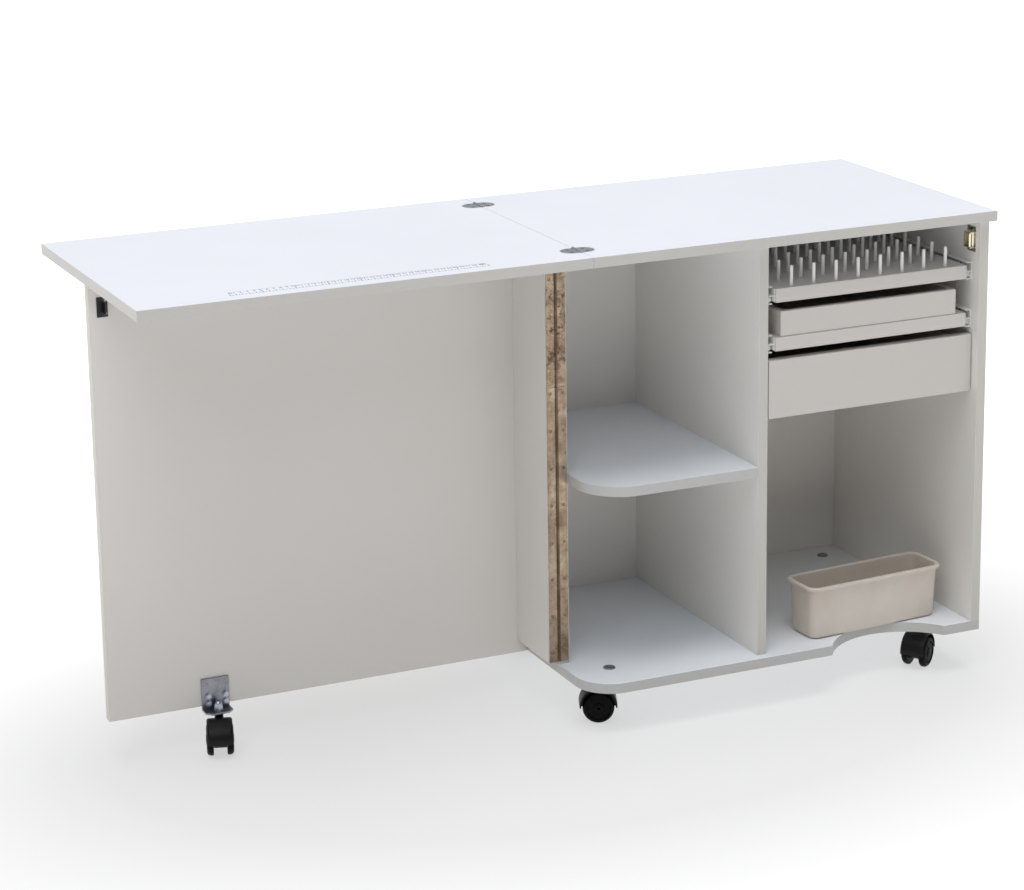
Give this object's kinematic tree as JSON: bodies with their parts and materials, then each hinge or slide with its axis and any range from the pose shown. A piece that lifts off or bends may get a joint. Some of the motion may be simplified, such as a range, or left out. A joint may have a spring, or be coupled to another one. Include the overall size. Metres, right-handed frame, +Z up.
{
  "type": "sewing table",
  "caption": "Rolling sewing cabinet with a fold-over top leaf, an L-shaped castored door that carries the open leaf, machine shelf, pull-out trays and drawer.",
  "frame": {"origin": "on the floor, under the middle of the unfolded top", "axes": "+X to the right along the unfolded top, with the folding leaf on -X and the cabinet on +X; +Y from the open front to the back; +Z up"},
  "size_m": [1.4, 0.48, 0.7684],
  "materials": {
    "top_laminate": "satin white melamine laminate on chipboard",
    "board_laminate": "satin white melamine laminate on chipboard, edge banded",
    "hinge_brass": "dull brass plating",
    "zinc_steel": "bright zinc plating",
    "dark_steel": "black oxide",
    "rail_enamel": "white powder coat",
    "dowel_wood": "plain beech",
    "peg_plastic": "satin white",
    "bin_plastic": "satin warm white",
    "scale_print": "satin printed strip",
    "pad_rubber": "soft clear-grey pad",
    "castor_plastic": "satin moulded black nylon",
    "axle_steel": "plain steel"
  },
  "bodies": {
    "cabinet": {"main_top": "top_laminate", "left_side": "board_laminate", "right_side": "board_laminate", "partition": "board_laminate", "back_panel": "board_laminate", "bottom_board": "board_laminate", "machine_shelf": "board_laminate", "leaf_hinge_fixed_plates": "zinc_steel", "leaf_hinge_pins": "zinc_steel", "door_hinge_fixed_leaf": "hinge_brass", "door_hinge_pins": "hinge_brass", "cabinet_screws": "zinc_steel", "catch_body": "hinge_brass", "catch_rollers": "hinge_brass", "cabinet_rails": "rail_enamel", "castor_stems": "dark_steel", "castor_caps": "zinc_steel", "carcass_dowels": "dowel_wood"},
    "leaf": {"leaf_top": "top_laminate", "leaf_hinge_moving_plates": "zinc_steel", "leaf_screws": "zinc_steel", "measuring_scale": "scale_print"},
    "door": {"door_panel": "board_laminate", "return_panel": "board_laminate", "door_hinge_moving_leaf": "hinge_brass", "door_screws": "zinc_steel", "strike_plate": "dark_steel", "castor_bracket": "zinc_steel", "bracket_bolts": "zinc_steel", "door_castor_stem": "dark_steel", "leaf_support_pads": "pad_rubber", "door_corner_dowels": "dowel_wood"},
    "peg_tray": {"peg_tray_board": "board_laminate", "pegs": "peg_plastic", "peg_tray_rails": "rail_enamel"},
    "box_tray": {"box_tray_board": "board_laminate", "tray_box": "board_laminate", "box_tray_rails": "rail_enamel"},
    "drawer": {"drawer_front": "board_laminate", "drawer_sides": "board_laminate", "drawer_back": "board_laminate", "drawer_bottom": "board_laminate", "drawer_rails": "rail_enamel"},
    "bin": {"storage_bin": "bin_plastic"},
    "front_left_castor_fork": {"front_left_castor_housing": "castor_plastic"},
    "front_left_castor_roller": {"front_left_castor_axle": "axle_steel", "front_left_castor_wheels": "castor_plastic"},
    "front_right_castor_fork": {"front_right_castor_housing": "castor_plastic"},
    "front_right_castor_roller": {"front_right_castor_axle": "axle_steel", "front_right_castor_wheels": "castor_plastic"},
    "back_left_castor_fork": {"back_left_castor_housing": "castor_plastic"},
    "back_left_castor_roller": {"back_left_castor_axle": "axle_steel", "back_left_castor_wheels": "castor_plastic"},
    "back_right_castor_fork": {"back_right_castor_housing": "castor_plastic"},
    "back_right_castor_roller": {"back_right_castor_axle": "axle_steel", "back_right_castor_wheels": "castor_plastic"},
    "door_castor_fork": {"door_castor_housing": "castor_plastic"},
    "door_castor_roller": {"door_castor_axle": "axle_steel", "door_castor_wheels": "castor_plastic"}
  },
  "joints": [
    {"name": "leaf_fold", "type": "hinge", "parent": "cabinet", "child": "leaf", "pos_m": [0, -0.183, 0.7665], "axis": [0, 1, 0], "range_deg": [0, 180]},
    {"name": "door_swing", "type": "hinge", "parent": "cabinet", "child": "door", "pos_m": [0, -0.104, 0.4], "axis": [0, 0, -1], "range_deg": [-180, 0]},
    {"name": "peg_tray_slide", "type": "slide", "parent": "cabinet", "child": "peg_tray", "axis": [0, -1, 0], "range_m": [0, 0.3]},
    {"name": "box_tray_slide", "type": "slide", "parent": "cabinet", "child": "box_tray", "axis": [0, -1, 0], "range_m": [0, 0.3]},
    {"name": "drawer_slide", "type": "slide", "parent": "cabinet", "child": "drawer", "axis": [0, -1, 0], "range_m": [0, 0.3]},
    {"name": "bin_slide", "type": "slide", "parent": "cabinet", "child": "bin", "axis": [0, -1, 0], "range_m": [0, 0.2]},
    {"name": "swivel_front_left", "type": "hinge", "parent": "cabinet", "child": "front_left_castor_fork", "pos_m": [0.0637, -0.1515, 0.05], "axis": [0, 0, 1], "continuous": true},
    {"name": "wheel_front_left", "type": "hinge", "parent": "front_left_castor_fork", "child": "front_left_castor_roller", "pos_m": [0.04713, -0.14447, 0.025], "axis": [-0.3907, -0.9205, 0], "continuous": true},
    {"name": "swivel_front_right", "type": "hinge", "parent": "cabinet", "child": "front_right_castor_fork", "pos_m": [0.634, -0.15, 0.05], "axis": [0, 0, 1], "continuous": true},
    {"name": "wheel_front_right", "type": "hinge", "parent": "front_right_castor_fork", "child": "front_right_castor_roller", "pos_m": [0.61962, -0.16083, 0.025], "axis": [0.6018, -0.7986, 0], "continuous": true},
    {"name": "swivel_back_left", "type": "hinge", "parent": "cabinet", "child": "back_left_castor_fork", "pos_m": [0.0637, 0.175, 0.05], "axis": [0, 0, 1], "continuous": true},
    {"name": "wheel_back_left", "type": "hinge", "parent": "back_left_castor_fork", "child": "back_left_castor_roller", "pos_m": [0.07749, 0.18657, 0.025], "axis": [-0.6428, 0.766, 0], "continuous": true},
    {"name": "swivel_back_right", "type": "hinge", "parent": "cabinet", "child": "back_right_castor_fork", "pos_m": [0.634, 0.175, 0.05], "axis": [0, 0, 1], "continuous": true},
    {"name": "wheel_back_right", "type": "hinge", "parent": "back_right_castor_fork", "child": "back_right_castor_roller", "pos_m": [0.61709, 0.16884, 0.025], "axis": [0.342, -0.9397, 0], "continuous": true},
    {"name": "swivel_door", "type": "hinge", "parent": "door", "child": "door_castor_fork", "pos_m": [-0.527, 0, 0.05], "axis": [0, 0, 1], "continuous": true},
    {"name": "wheel_door", "type": "hinge", "parent": "door_castor_fork", "child": "door_castor_roller", "pos_m": [-0.53226, -0.01721, 0.025], "axis": [0.9563, -0.2924, 0], "continuous": true}
  ]
}
